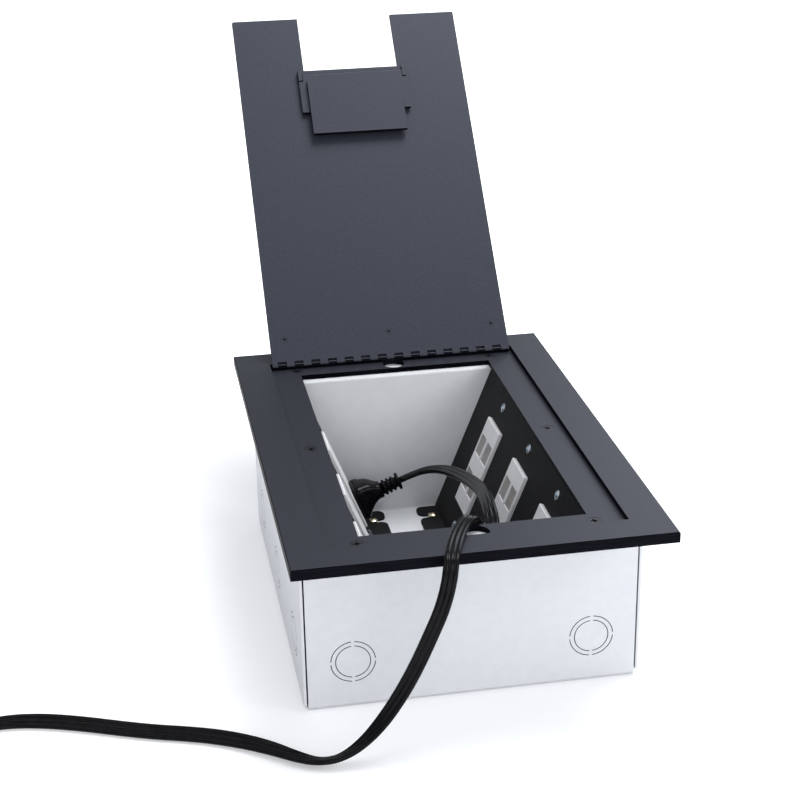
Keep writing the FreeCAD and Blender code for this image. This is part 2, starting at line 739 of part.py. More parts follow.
def cable_door_pin():
    reach = notch_width / 2 - door_gap + backing_lap - door_pin_short
    return Part.makeCylinder(door_pin_radius, 2 * reach, Vector(-reach, door_axis_y, door_axis_z),
                             Vector(1, 0, 0))


def cable_door_plate():
    half = notch_width / 2 - door_gap
    top = lid_top - door_set
    return box(-half, half, lid_front, notch_base - door_near_gap, top - door_sheet, top)


def cable_door_backing():
    half = notch_width / 2 - door_gap + backing_lap
    top = lid_top - door_set - door_sheet
    far = -half_box_y + box_sheet + backing_end_gap
    neck = half - lug_width - lug_gap
    lug_end = door_axis_y - lug_reach_front - lug_end_gap
    plate = box(-half, half, far, lug_end, top - backing_sheet, top)
    neck_plate = box(-neck, neck, lug_end, door_axis_y, top - backing_sheet, top)
    barrel = Part.makeCylinder(door_barrel_radius, 2 * neck, Vector(-neck, door_axis_y, door_axis_z),
                               Vector(1, 0, 0))
    bore = Part.makeCylinder(door_pin_radius + pin_clearance, 2 * neck + 2,
                             Vector(-neck - 1, door_axis_y, door_axis_z), Vector(1, 0, 0))
    return plate.fuse([neck_plate, barrel]).cut(bore)


# ---------------------------------------------------------------- plug and lead

def on_outlet(shape):
    """Place a shape on the used outlet: back device of the left panel, lower outlet."""
    moved = shape.translated(Vector(device_centre_drop + outlet_used_drop, device_places["back"],
                                    device_proud))
    return mirror_x(on_panel(moved))


def plug_blades():
    blades = []
    for side in (-1, 1):
        b = side * blade_spacing / 2
        blades.append(box(-blade_rise - blade_width / 2, -blade_rise + blade_width / 2,
                          b - blade_thickness / 2, b + blade_thickness / 2, -blade_length, 0))
    blades.append(Part.makeCylinder(ground_pin / 2, blade_length,
                                    Vector(ground_drop - blade_rise, 0, -blade_length)))
    return on_outlet(Part.Compound(blades))


def plug_section(width, height, z, radius):
    plate = rounded_plate(-height / 2, height / 2, -width / 2, width / 2, z, z + 1, radius)
    bottom = min(plate.Faces, key=lambda f: f.CenterOfMass.z)
    return bottom.OuterWire


def plug_body():
    shoulder_width = (plug_base_width + 2 * plug_neck) / 3
    shoulder_height = (plug_base_height + 2 * plug_neck) / 3
    sections = [plug_section(plug_base_width, plug_base_height, 0, plug_corner),
                plug_section(plug_base_width, plug_base_height - 1, plug_base_depth, plug_corner),
                plug_section(shoulder_width, shoulder_height, plug_taper_depth, plug_corner - 1),
                plug_section(plug_neck, plug_neck, plug_body_length, plug_corner - 2)]
    return on_outlet(Part.makeLoft(sections, True, True))


def plug_strain_relief():
    z = plug_body_length
    core = Part.makeCone(relief_core, relief_core_end, relief_length, Vector(0, 0, z))
    rings = [Part.makeCylinder(relief_rib, relief_rib_width, Vector(0, 0, z + relief_rib_pitch * (i + 0.5)))
             for i in range(3)]
    collar = Part.makeCylinder(relief_collar, relief_rib_width,
                               Vector(0, 0, z + relief_length - relief_rib_width))
    return on_outlet(core.fuse(rings + [collar]))


def beyond_plug(reach):
    """Point on the plug's axis, reach past the end of its strain relief."""
    return on_outlet(Part.Vertex(Vector(0, 0, plug_body_length + relief_length + reach))).Point


# The lead's way: forward through the box, a tight bend up over the ledge and the ring, down the
# front, and away over the floor.
lead_over = rim_top + cord_diameter
wall = -half_box_y + box_sheet
edge = -rim_length / 2
lead_floor = cord_diameter / 2
cord_route = [Vector(14.5, 65, 64), Vector(22, 46, 70.5), Vector(27.5, 16, 78),
              Vector(29, wall + 111.4, 86.5), Vector(27, wall + 82.4, 93),
              Vector(23.5, wall + 55.4, 97), Vector(21.5, wall + 40.4, 96),
              Vector(19.5, wall + 28.9, 90.5), Vector(18.6, wall + 23.4, 80),
              Vector(18.5, wall + 22.4, 71.7), Vector(14.3, wall + 19.5, 64.7),
              Vector(7.5, wall + 14.9, 62), Vector(0.7, wall + 10.3, 64.7),
              Vector(-3.5, wall + 7.4, 71.7), Vector(-3.7, wall + 7.2, 82), Vector(-4, wall + 7, 94),
              Vector(-4.5, wall + 6.8, 106.5), Vector(-6, wall + 2.6, lead_over - 7.5),
              Vector(-9, wall - 7.1, lead_over + 0.3), Vector(-13.5, edge + 18.7, lead_over + 0.6),
              Vector(-18.5, edge + 2.2, lead_over + 0.3), Vector(-22.5, edge - 8.3, lead_over - 5.5),
              Vector(-26, edge - 13.8, 108), Vector(-30.5, edge - 16.3, 90),
              Vector(-37.5, edge - 18.3, 68), Vector(-47.5, edge - 20.8, 45),
              Vector(-60, edge - 24.3, 25), Vector(-76, edge - 27.3, lead_floor + 7),
              Vector(-95, edge - 25.3, lead_floor + 0.4), Vector(-114, edge - 14.3, lead_floor),
              Vector(-134, edge + 2.2, lead_floor), Vector(-158, edge + 18.7, lead_floor),
              Vector(-187, edge + 31.2, lead_floor), Vector(-219, edge + 41.2, lead_floor),
              Vector(-252, edge + 49.2, lead_floor), Vector(-285, edge + 53.7, lead_floor),
              Vector(-318, edge + 51.2, lead_floor)]
# The far end leaves the coil along the floor and rises to the connector's middle.
coil_outer = coil_radius + coil_band / 2


def by_coil(angle, out):
    """Point on the floor beside the coil: its angle round the coil, and how far outside it lies."""
    turn = math.radians(angle)
    reach = coil_outer + out
    return coil_centre + Vector(reach * math.cos(turn), reach * math.sin(turn), lead_floor)


connector_y = coil_centre.y + coil_outer + cord_diameter + 1
tail_route = [by_coil(137, -2), by_coil(118, 1.4), by_coil(100, 4.8),
              Vector(coil_centre.x + 6, connector_y, lead_floor + 2),
              Vector(coil_centre.x + 21, connector_y, connector_height / 2),
              Vector(coil_centre.x + 36, connector_y, connector_height / 2)]


def lead_path(points):
    """Straight runs joined by tangent arcs, as large as the runs allow."""
    edges = []
    last = points[0]
    smallest = None
    for before, corner, after in zip(points, points[1:], points[2:]):
        into = (corner - before).normalize()
        out = (after - corner).normalize()
        turn = math.acos(max(-1.0, min(1.0, into.dot(out))))
        reach = 0.45 * min((corner - before).Length, (after - corner).Length)
        radius = reach / math.tan(turn / 2)
        start, end = corner - into * reach, corner + out * reach
        centre_way = (out - into).normalize()
        centre = corner + centre_way * (radius / math.cos(turn / 2))
        middle = centre - centre_way * radius
        edges.append(Part.LineSegment(last, start).toShape())
        edges.append(Part.Arc(start, middle, end).toShape())
        last = end
        print("  corner", tuple(round(c, 1) for c in corner), "turn", round(math.degrees(turn)),
              "radius", round(radius, 1), "run", round((corner - before).Length, 1))
        smallest = radius if smallest is None else min(smallest, radius)
    edges.append(Part.LineSegment(last, points[-1]).toShape())
    print("  smallest radius", round(smallest, 1))
    return Part.Wire(edges)


def tube(points, diameter):
    path = lead_path(points)
    direction = (points[1] - points[0]).normalize()
    section = Part.Wire(Part.Circle(points[0], direction, diameter / 2).toShape())
    swept = path.makePipeShell([section], True, False)
    print("  length", round(path.Length, 1), "volume over section times length",
          round(swept.Volume / (path.Length * math.pi * diameter ** 2 / 4), 4))
    return swept


def cord_run():
    route = [beyond_plug(0), beyond_plug(straight_out)] + cord_route + [by_coil(-60.5, 0)]
    return tube(route, cord_diameter)


def cord_tail():
    return tube(tail_route, cord_diameter)


def cord_connector():
    """Moulded socket at the lead's far end, lying flat on the floor."""
    back = tail_route[-1].x
    y = tail_route[-1].y
    neck = Part.makeCone(relief_core_end, relief_collar, connector_neck,
                         Vector(back, y, connector_height / 2), Vector(1, 0, 0))
    body = box(back + connector_neck, back + connector_length, y - connector_width / 2,
               y + connector_width / 2, 0, connector_height)
    along = [e for e in body.Edges if abs(e.tangentAt(e.FirstParameter).x) > 0.9]
    body = body.makeFillet(connector_corner, along)
    sockets = []
    for side in (-1, 0, 1):
        middle = y + side * connector_slot_pitch
        sockets.append(box(back + connector_length - connector_slot_depth, back + connector_length + 1,
                           middle - connector_slot / 2, middle + connector_slot / 2,
                           (connector_height - connector_slot_height) / 2,
                           (connector_height + connector_slot_height) / 2))
    return neck.fuse(body).cut(sockets)


def cord_coil():
    outer = Part.makeCylinder(coil_radius + coil_band / 2, coil_turns_height, coil_centre)
    inner = Part.makeCylinder(coil_radius - coil_band / 2, coil_turns_height + 2,
                              coil_centre - Vector(0, 0, 1))
    return outer.cut(inner)


# ---------------------------------------------------------------- write every node

def main():
    write("back_box", back_box())
    write("ledge_plate", ledge_plate())
    write("trim_ring", trim_ring())
    write("ledge_screws", ledge_screws())
    write("ring_screws", ring_screws())
    right_panel = device_panel()
    write("right_device_panel", right_panel)
    write("left_device_panel", mirror_x(right_panel))
    write("panel_foot_screws", foot_screws())
    screws = device_screws()
    write("right_device_screws", screws)
    write("left_device_screws", mirror_x(screws))
    for place, y in device_places.items():
        write("data_insert_" + place, on_panel(data_insert(y)))
        write("data_port_blanks_" + place, on_panel(data_port_blanks(y)))
        write("data_strap_" + place, on_panel(device_strap(y)))
        write("receptacle_face_" + place, mirror_x(on_panel(receptacle_face(y))))
        write("receptacle_strap_" + place, mirror_x(on_panel(device_strap(y))))
        write("receptacle_body_" + place, mirror_x(on_panel(receptacle_body(y))))
    write("hinge_frame_leaf", hinge_frame_leaf())
    write("hinge_pin", hinge_pin())
    write("hinge_lid_leaf", opened_lid(hinge_lid_leaf()))
    write("lid_plate", opened_lid(lid_plate()))
    write("lid_hinge_screws", opened_lid(lid_hinge_screws()))
    write("door_hinge_lugs", opened_lid(door_hinge_lugs()))
    write("cable_door_pin", opened_lid(cable_door_pin()))
    write("cable_door_plate", folded_door(cable_door_plate()))
    write("cable_door_backing", folded_door(cable_door_backing()))
    write("plug_body", plug_body())
    write("plug_blades", plug_blades())
    write("plug_strain_relief", plug_strain_relief())
    coil = cord_coil()
    write("cord_run", cord_run().cut(coil))
    write("cord_coil", coil)
    write("cord_tail", cord_tail().cut(coil))
    write("cord_connector", cord_connector())


main()
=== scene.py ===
import math

import bmesh
import bpy
from mathutils import Matrix, Vector


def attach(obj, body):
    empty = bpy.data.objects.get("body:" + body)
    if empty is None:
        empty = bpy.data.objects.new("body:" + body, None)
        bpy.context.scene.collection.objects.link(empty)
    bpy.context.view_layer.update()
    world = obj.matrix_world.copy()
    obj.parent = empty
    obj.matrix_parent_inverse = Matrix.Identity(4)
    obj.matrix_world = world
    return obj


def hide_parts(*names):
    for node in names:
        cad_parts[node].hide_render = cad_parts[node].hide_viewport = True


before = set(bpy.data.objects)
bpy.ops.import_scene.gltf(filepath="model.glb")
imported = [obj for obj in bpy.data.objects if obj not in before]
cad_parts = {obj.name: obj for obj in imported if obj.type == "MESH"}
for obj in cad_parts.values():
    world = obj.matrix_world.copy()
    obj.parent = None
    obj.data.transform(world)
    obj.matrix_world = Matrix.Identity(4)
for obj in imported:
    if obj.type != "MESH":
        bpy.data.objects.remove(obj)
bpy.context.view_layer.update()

scene = bpy.context.scene
scene.view_settings.view_transform = "Standard"


# ------------------------------------------------------------------ camera
# A long-lens view from the front left, looking down into the open box.

camera_data = bpy.data.cameras.new("camera")
camera_data.sensor_width = 36.0
camera_data.lens = 78.01
camera = bpy.data.objects.new("camera", camera_data)
scene.collection.objects.link(camera)
camera_right = Vector((0.98353, -0.18003, -0.01598))
camera_up = Vector((0.08379, 0.37584, 0.92289))
camera_ahead = Vector((0.16015, 0.90903, -0.38474))
camera_place = Vector((-0.20265, -1.03572, 0.58457))
turn = Matrix((camera_right, camera_up, -camera_ahead)).transposed().to_4x4()
camera.matrix_world = Matrix.Translation(camera_place) @ turn
camera_data.clip_start = 0.05
scene.camera = camera


# ------------------------------------------------------------------ floor, world and lamps
# A seamless white sweep: it looks white to the eye and in reflections, and keeps the soft shadows.
# It glows more with distance, so that it is pure white away from the box.

def linear(hex_colour):
    """Linear colour of an sRGB hex value."""
    levels = [int(hex_colour[i:i + 2], 16) / 255 for i in (1, 3, 5)]
    return [v / 12.92 if v <= 0.04045 else ((v + 0.055) / 1.055) ** 2.4 for v in levels] + [1.0]


def node(tree, kind, inputs=None, **settings):
    """Add one node: settings are its properties, inputs are values or the sockets that feed it."""
    made = tree.nodes.new(kind)
    for name, value in settings.items():
        setattr(made, name, value)
    for name, value in (inputs or {}).items():
        if isinstance(value, bpy.types.NodeSocket):
            tree.links.new(value, made.inputs[name])
        else:
            made.inputs[name].default_value = value
    return made


def seen_by_eye(tree):
    """1 for rays from the eye, and for reflections and see-through of them."""
    path = node(tree, "ShaderNodeLightPath").outputs
    either = node(tree, "ShaderNodeMath", {0: path["Is Camera Ray"], 1: path["Is Glossy Ray"]},
                  operation="MAXIMUM")
    return node(tree, "ShaderNodeMath", {0: either.outputs[0], 1: path["Is Transmission Ray"]},
                operation="MAXIMUM").outputs[0]


floor_half = 4.0
floor_drop = 0.0002             # below the base, so that the two faces don't flicker
floor_lift = 0.28               # glow under the box
floor_lift_far = 1.0            # glow of pure white
glow_near = 0.20                # distances from the box's middle between which it rises
glow_far = 0.60
floor_mesh = bpy.data.meshes.new("floor")
floor_corners = [(x * floor_half, y * floor_half, -floor_drop)
                 for x, y in ((-1, -1), (1, -1), (1, 1), (-1, 1))]
floor_mesh.from_pydata(floor_corners, [], [(0, 1, 2, 3)])
floor = bpy.data.objects.new("floor", floor_mesh)
scene.collection.objects.link(floor)
paper = bpy.data.materials.new("white_paper_sweep")
paper.use_nodes = True
tree = paper.node_tree
tree.nodes.clear()
matt = node(tree, "ShaderNodeBsdfDiffuse", {"Color": linear("#E4E5E8")})
from_box = node(tree, "ShaderNodeVectorMath",
                {0: node(tree, "ShaderNodeTexCoord").outputs["Object"], 1: (0.0, 0.0, 0.0)},
                operation="DISTANCE").outputs["Value"]
lift = node(tree, "ShaderNodeMapRange", {"Value": from_box, "From Min": glow_near, "From Max": glow_far,
                                         "To Min": floor_lift, "To Max": floor_lift_far},
            interpolation_type="SMOOTHSTEP").outputs["Result"]
glow = node(tree, "ShaderNodeEmission", {"Color": (1, 1, 1, 1), "Strength": lift})
lit = node(tree, "ShaderNodeAddShader", {0: matt.outputs[0], 1: glow.outputs[0]})
dull = node(tree, "ShaderNodeBsdfDiffuse", {"Color": linear("#C9CACD")})
choice = node(tree, "ShaderNodeMixShader", {0: seen_by_eye(tree), 1: dull.outputs[0], 2: lit.outputs[0]})
node(tree, "ShaderNodeOutputMaterial", {"Surface": choice.outputs[0]})
floor_mesh.materials.append(paper)

# The room lights softly from all round, and the eye sees it white.
world = bpy.data.worlds.new("studio")
scene.world = world
world.use_nodes = True
tree = world.node_tree
tree.nodes.clear()
room = node(tree, "ShaderNodeBackground", {"Color": (0.93, 0.96, 1.0, 1), "Strength": 0.50})
white = node(tree, "ShaderNodeBackground", {"Color": (1, 1, 1, 1), "Strength": 1.0})
path = node(tree, "ShaderNodeLightPath").outputs
choice = node(tree, "ShaderNodeMixShader",
              {0: path["Is Camera Ray"], 1: room.outputs[0], 2: white.outputs[0]})
node(tree, "ShaderNodeOutputWorld", {"Surface": choice.outputs[0]})


lamp_target = Vector((0.0, 0.0, 0.1))


def softbox(name, place, width, height, power, tint=(1.0, 1.0, 1.0)):
    """Rectangular lamp at place, turned to the middle of the box just under its rim."""
    lamp_data = bpy.data.lights.new(name, "AREA")
    lamp_data.shape = "RECTANGLE"
    lamp_data.size, lamp_data.size_y = width, height
    lamp_data.energy = power
    lamp_data.color = tint
    lamp = bpy.data.objects.new(name, lamp_data)
    scene.collection.objects.link(lamp)
    lamp.location = place
    lamp.rotation_euler = (lamp_target - Vector(place)).to_track_quat("-Z", "Y").to_euler()


softbox("lamp_top", (0.65, 0.5, 2.2), width=1.1, height=1.1, power=44.0)
softbox("lamp_front", (0.1, -1.9, 0.7), width=1.6, height=0.8, power=13.5)
softbox("lamp_right", (1.3, -0.9, 1.0), width=0.8, height=0.8, power=9.0)
softbox("lamp_left", (-0.9, -0.3, 1.5), width=1.0, height=1.0, power=4.5)
softbox("lamp_back", (1.2, 1.7, 0.95), width=1.2, height=0.9, power=9.0, tint=(0.86, 0.90, 1.0))


# ------------------------------------------------------------------ box
# Folded sheet steel with satin white enamel and stamped knockouts.  Its front and back lips carry the
# rim; the sides are slit at the corners.

def new_material(name):
    """A material, its tree, its shader and the piece's own coordinates in metres."""
    material = bpy.data.materials.new(name)
    material.use_nodes = True
    tree = material.node_tree
    place = node(tree, "ShaderNodeTexCoord").outputs["Object"]
    return material, tree, tree.nodes["Principled BSDF"], place


def mottled(tree, place, patch, dark, light, low=0.35, high=0.65, detail=3.0):
    """Colour that wanders between two hex values, over patches about that many metres wide."""
    cloud = node(tree, "ShaderNodeTexNoise", {"Vector": place, "Scale": 1 / patch, "Detail": detail})
    ramp = node(tree, "ShaderNodeValToRGB", {"Fac": cloud.outputs["Fac"]})
    ramp.color_ramp.elements[0].position, ramp.color_ramp.elements[0].color = low, linear(dark)
    ramp.color_ramp.elements[1].position, ramp.color_ramp.elements[1].color = high, linear(light)
    return ramp.outputs["Color"]


def grained(tree, shader, place, grain, depth, detail=2.0):
    """Bump of that grain and depth, in metres; returns its pattern."""
    grit = node(tree, "ShaderNodeTexNoise", {"Vector": place, "Scale": 1 / grain, "Detail": detail})
    bump = node(tree, "ShaderNodeBump",
                {"Height": grit.outputs["Fac"], "Distance": depth, "Strength": 1.0})
    tree.links.new(bump.outputs["Normal"], shader.inputs["Normal"])
    return grit.outputs["Fac"]


def roughened(tree, shader, factor, low, high):
    """Roughness that follows a pattern between two values."""
    spread = node(tree, "ShaderNodeMapRange", {"Value": factor, "To Min": low, "To Max": high})
    tree.links.new(spread.outputs["Result"], shader.inputs["Roughness"])


def dress(material, *names):
    """Give CAD nodes a material."""
    for name in names:
        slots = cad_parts[name].data.materials
        slots.clear()
        slots.append(material)


# Baked enamel on steel: almost even white, a fine orange peel, soft reflections.  Slits and the roots
# of folds are painted dark: painted shade where light is shut out, found by ambient occlusion.
shade_reach = 0.0012
shade_colour = "#34363C"
enamel, tree, shader, place = new_material("white_enamel_on_sheet_steel")
peel = mottled(tree, place, patch=0.006, dark="#DFE1E5", light="#E2E4E8", detail=4.0)
# Painted shade: ambient occlusion within that reach mixes the enamel towards the dark colour in slits and
# folds.
shut_in = node(tree, "ShaderNodeAmbientOcclusion", {"Distance": shade_reach}, samples=8, only_local=True)
open_share = node(tree, "ShaderNodeMapRange",
                  {"Value": shut_in.outputs["AO"], "From Min": 0.35, "From Max": 0.80}).outputs[0]
shade_and_peel = node(tree, "ShaderNodeMix", {"Factor": open_share, "A": linear(shade_colour), "B": peel},
                     data_type="RGBA").outputs["Result"]
tree.links.new(shade_and_peel, shader.inputs["Base Color"])
grit = grained(tree, shader, place, grain=0.0016, depth=0.00001, detail=3.0)
roughened(tree, shader, grit, low=0.30, high=0.42)
dress(enamel, "back_box")


# ------------------------------------------------------------------ device panels
# Folded sheet steel with a matt black powder coat, leaning in at the foot.  Their feet are slotted and
# held to the box's floor by a pan-head screw at each end.

def finish(name, patch, colours, grain, depth, rough, metallic=0.0, specular=0.5):
    """Even finish: its colour wanders over patches, its bump and roughness over a finer grain."""
    material, tree, shader, place = new_material(name)
    tree.links.new(mottled(tree, place, patch, *colours), shader.inputs["Base Color"])
    roughened(tree, shader, grained(tree, shader, place, grain, depth), *rough)
    shader.inputs["Metallic"].default_value = metallic
    shader.inputs["Specular IOR Level"].default_value = specular
    return material


black_coat = finish("matt_black_powder_coat_on_sheet_steel", patch=0.0018, colours=("#0F0F11", "#151517"),
                    grain=0.0010, depth=0.00003, rough=(0.5, 0.65), specular=0.15)
dress(black_coat, "left_device_panel", "right_device_panel")


# ------------------------------------------------------------------ devices
# Three data inserts on the right and three twin outlets on the left.  Each is a moulded face on a
# zinc-plated steel strap behind the panel; the outlets have a dark moulded housing behind.

# Moulded ABS faces: light grey-white, smooth, a soft gloss.
light_abs = finish("abs_moulded_light", patch=0.012, colours=("#DADADD", "#E0E0E3"),
                   grain=0.0008, depth=0.00001, rough=(0.28, 0.4))

# Port blanks: the same plastic in mid grey, with a fine mould texture.
grey_abs = finish("abs_moulded_grey", patch=0.006, colours=("#8B8785", "#9A9694"),
                  grain=0.0006, depth=0.00002, rough=(0.4, 0.55))

# Housings: phenolic moulding, nearly black, dull.
phenolic = finish("phenolic_moulded", patch=0.01, colours=("#2B2B30", "#36363B"),
                  grain=0.0010, depth=0.00003, rough=(0.5, 0.62))

# Zinc plate: bright, faintly blue, slightly cloudy.
zinc = finish("zinc_plate_on_steel", patch=0.004, colours=("#B9C6CF", "#E4EBF0"),
              grain=0.0009, depth=0.00002, rough=(0.16, 0.32), metallic=1.0)

for row_name in ("front", "middle", "back"):
    dress(light_abs, "data_insert_" + row_name, "receptacle_face_" + row_name)
    dress(grey_abs, "data_port_blanks_" + row_name)
    dress(zinc, "data_strap_" + row_name, "receptacle_strap_" + row_name)
    dress(phenolic, "receptacle_body_" + row_name)


# ------------------------------------------------------------------ device and foot screws
# Pan-head screws with a cross recess, cold formed: zinc plated through the panels' faces into the
# straps, nickel plated through the panels' feet into the box's floor.

def screw_tree():
    """Node group: one cross-recess screw at each point, its head standing along the point's axis."""
    bar_share = 0.25            # width of a recess bar over its length
    turn_per_screw = 2.4        # radians, so that the recesses of neighbours don't line up
    tree = bpy.data.node_groups.new("cross_recess_screws", "GeometryNodeTree")
    tree.interface.new_socket("Places", in_out="INPUT", socket_type="NodeSocketGeometry")
    for name in ("Head Radius", "Seat Radius", "Head Height", "Dome", "Shank Radius", "Shank Length",
                 "Recess Size", "Recess Depth"):
        tree.interface.new_socket(name, in_out="INPUT", socket_type="NodeSocketFloat")
    tree.interface.new_socket("Material", in_out="INPUT", socket_type="NodeSocketMaterial")
    tree.interface.new_socket("Screws", in_out="OUTPUT", socket_type="NodeSocketGeometry")
    given = tree.nodes.new("NodeGroupInput").outputs

    def result(a, b, operation):
        return node(tree, "ShaderNodeMath", {0: a, 1: b}, operation=operation).outputs[0]

    def product(a, b):
        return result(a, b, "MULTIPLY")

    def vector(**parts):
        return node(tree, "ShaderNodeCombineXYZ", parts).outputs[0]

    # The head is a cone frustum, crowned by sinking its top towards the brim.
    head = node(tree, "GeometryNodeMeshCone",
                {"Vertices": 28, "Side Segments": 3, "Fill Segments": 6,
                 "Radius Top": given["Head Radius"], "Radius Bottom": given["Seat Radius"],
                 "Depth": given["Head Height"]}).outputs["Mesh"]
    position = node(tree, "GeometryNodeInputPosition").outputs[0]
    where = node(tree, "ShaderNodeSeparateXYZ", {0: position}).outputs
    from_axis = result(product(where["X"], where["X"]), product(where["Y"], where["Y"]), "ADD")
    out_share = result(from_axis, product(given["Head Radius"], given["Head Radius"]), "DIVIDE")
    up_share = result(where["Z"], given["Head Height"], "DIVIDE")
    sink = product(product(product(out_share, up_share), given["Dome"]), -1.0)
    domed = node(tree, "GeometryNodeSetPosition", {"Geometry": head, "Offset": vector(Z=sink)})

    # Two crossed bars, centred on the head's top, cut the recess.
    cutter_depth = product(given["Recess Depth"], 2.0)
    bar_width = product(given["Recess Size"], bar_share)
    at_top = vector(Z=given["Head Height"])
    cut = node(tree, "GeometryNodeMeshBoolean", {"Mesh 1": domed.outputs[0]},
               operation="DIFFERENCE", solver="EXACT")
    for along, across in ((given["Recess Size"], bar_width), (bar_width, given["Recess Size"])):
        size = vector(X=along, Y=across, Z=cutter_depth)
        bar = node(tree, "GeometryNodeMeshCube", {"Size": size}).outputs["Mesh"]
        placed = node(tree, "GeometryNodeTransform", {"Geometry": bar, "Translation": at_top})
        tree.links.new(placed.outputs[0], cut.inputs["Mesh 2"])

    shank = node(tree, "GeometryNodeMeshCylinder",
                 {"Vertices": 16, "Radius": given["Shank Radius"], "Depth": given["Shank Length"]})
    half_down = vector(Z=product(given["Shank Length"], -0.5))
    shank = node(tree, "GeometryNodeTransform",
                 {"Geometry": shank.outputs["Mesh"], "Translation": half_down})
    screw = node(tree, "GeometryNodeJoinGeometry", {0: shank.outputs[0]})
    tree.links.new(cut.outputs["Mesh"], screw.inputs[0])

    axis = node(tree, "GeometryNodeInputNamedAttribute", {"Name": "axis"}, data_type="FLOAT_VECTOR")
    stands = node(tree, "FunctionNodeAlignRotationToVector", {"Vector": axis.outputs[0]}, axis="Z")
    driven_home = product(node(tree, "GeometryNodeInputIndex").outputs[0], turn_per_screw)
    spin = node(tree, "FunctionNodeAxisAngleToRotation", {"Axis": (0, 0, 1), "Angle": driven_home})
    turned = node(tree, "FunctionNodeRotateRotation",
                  {"Rotation": stands.outputs[0], "Rotate By": spin.outputs[0]}, rotation_space="LOCAL")
    spread = node(tree, "GeometryNodeInstanceOnPoints",
                  {"Points": given["Places"], "Instance": screw.outputs[0],
                   "Rotation": turned.outputs[0]})
    real = node(tree, "GeometryNodeRealizeInstances", {0: spread.outputs[0]})
    faced = node(tree, "GeometryNodeSetMaterial",
                 {"Geometry": real.outputs[0], "Material": given["Material"]})
    node(tree, "NodeGroupOutput", {0: faced.outputs[0]})
    return tree


screws_group = screw_tree()


def driven_screws(name, body, material, seats, axis, sizes):
    """One mesh of screws, heads on the seats and standing along axis, in place of the CAD node name."""
    mesh = bpy.data.meshes.new(name + "_seats")
    mesh.from_pydata(seats, [], [])
    axes = mesh.attributes.new("axis", "FLOAT_VECTOR", "POINT")
    axes.data.foreach_set("vector", list(axis) * len(seats))
    holder = bpy.data.objects.new(name + "_seats", mesh)
    scene.collection.objects.link(holder)
    modifier = holder.modifiers.new("screws", "NODES")
    modifier.node_group = screws_group
    sockets = {item.name: item.identifier for item in screws_group.interface.items_tree
               if item.in_out == "INPUT"}
    for size_name, value in sizes.items():
        modifier[sockets[size_name]] = value
    modifier[sockets["Material"]] = material
    evaluated = holder.evaluated_get(bpy.context.evaluated_depsgraph_get())
    plain = bpy.data.meshes.new_from_object(evaluated)
    bpy.data.objects.remove(holder)
    made = bpy.data.objects.new("finished_" + name, plain)
    scene.collection.objects.link(made)
    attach(made, body)
    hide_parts(name)


# Nickel plate: warm bright metal.
nickel = finish("nickel_plate_on_steel", patch=0.002, colours=("#B8AC94", "#DDD4BE"),
                grain=0.0007, depth=0.00001, rough=(0.15, 0.3), metallic=1.0)

panel_tilt = math.radians(22)
panel_top = Vector((0.0727, 0.0, 0.1132))      # top edge of the right panel's face
down_panel = Vector((-math.sin(panel_tilt), 0.0, -math.cos(panel_tilt)))
device_pitch = 0.07315
screw_drops = (0.0119, 0.1087)  # down the panel's face, from its top edge
pan_sizes = {"Head Radius": 0.0034, "Seat Radius": 0.0034, "Head Height": 0.0024, "Dome": 0.0013,
             "Shank Radius": 0.00175, "Recess Size": 0.0037, "Recess Depth": 0.0012}
for side, name in ((1, "right_device_screws"), (-1, "left_device_screws")):
    seats = []
    for row in (-1, 0, 1):
        for drop in screw_drops:
            seat = panel_top + down_panel * drop
            seats.append((side * seat.x, row * device_pitch, seat.z))
    facing = (-side * math.cos(panel_tilt), 0.0, math.sin(panel_tilt))
    driven_screws(name, "box", zinc, seats, facing, pan_sizes | {"Shank Length": 0.0058})

foot_screw_x = 0.0226
foot_screw_y = 0.111
foot_top = 0.0031               # upper face of the panels' feet
driven_screws("panel_foot_screws", "box", nickel,
              [(x * foot_screw_x, y * foot_screw_y, foot_top) for x in (-1, 1) for y in (-1, 1)],
              (0.0, 0.0, 1.0), pan_sizes | {"Shank Length": 0.0030})


# ------------------------------------------------------------------ rim
# A ring on a ledge plate, screwed together from below.  Six countersunk screws hold the ledge plate to
# the box's lips and the device panels.  Dark blue-grey satin powder coat on the faces; the cut edges
# are painted near-black as painted shade, for they face away from the light.

cool_sheen = (0.78, 0.84, 1.0, 1.0)


def faces_and_edges(name, face_way, dark, light):
    """Coated plate: face colour where the surface looks along face_way, painted shade on its cut edges.
    """
    material, tree, shader, place = new_material(name)
    normal = node(tree, "ShaderNodeTexCoord").outputs["Normal"]
    facing = node(tree, "ShaderNodeVectorMath", {0: normal, 1: face_way},
                  operation="DOT_PRODUCT").outputs["Value"]
    flat = node(tree, "ShaderNodeMath", {0: facing}, operation="ABSOLUTE").outputs[0]
    is_face = node(tree, "ShaderNodeMapRange",
                   {"Value": flat, "From Min": 0.75, "From Max": 0.95}).outputs[0]
    coat = mottled(tree, place, patch=0.0016, dark=dark, light=light, detail=5.0)

    # The cut edges are painted near-black as painted shade, with fine lines that run along the plate.
    drawn_out = node(tree, "ShaderNodeMapping",
                     {"Vector": place, "Scale": (0.04, 0.04, 1.0)}).outputs[0]
    cut = mottled(tree, drawn_out, patch=0.0011, dark="#030305", light="#0F0F16")
    # Painted shade: surfaces that turn away from face_way take the near-black edge colour.
    colour = node(tree, "ShaderNodeMix", {"Factor": is_face, "A": cut, "B": coat}, data_type="RGBA")
    tree.links.new(colour.outputs["Result"], shader.inputs["Base Color"])
    grit = grained(tree, shader, place, grain=0.0011, depth=0.00002, detail=4.0)
    roughened(tree, shader, grit, low=0.40, high=0.54)
    sheen = node(tree, "ShaderNodeMapRange",
                 {"Value": is_face, "To Min": 0.04, "To Max": 0.36}).outputs[0]
    tree.links.new(sheen, shader.inputs["Specular IOR Level"])
    shader.inputs["Specular Tint"].default_value = cool_sheen
    return material


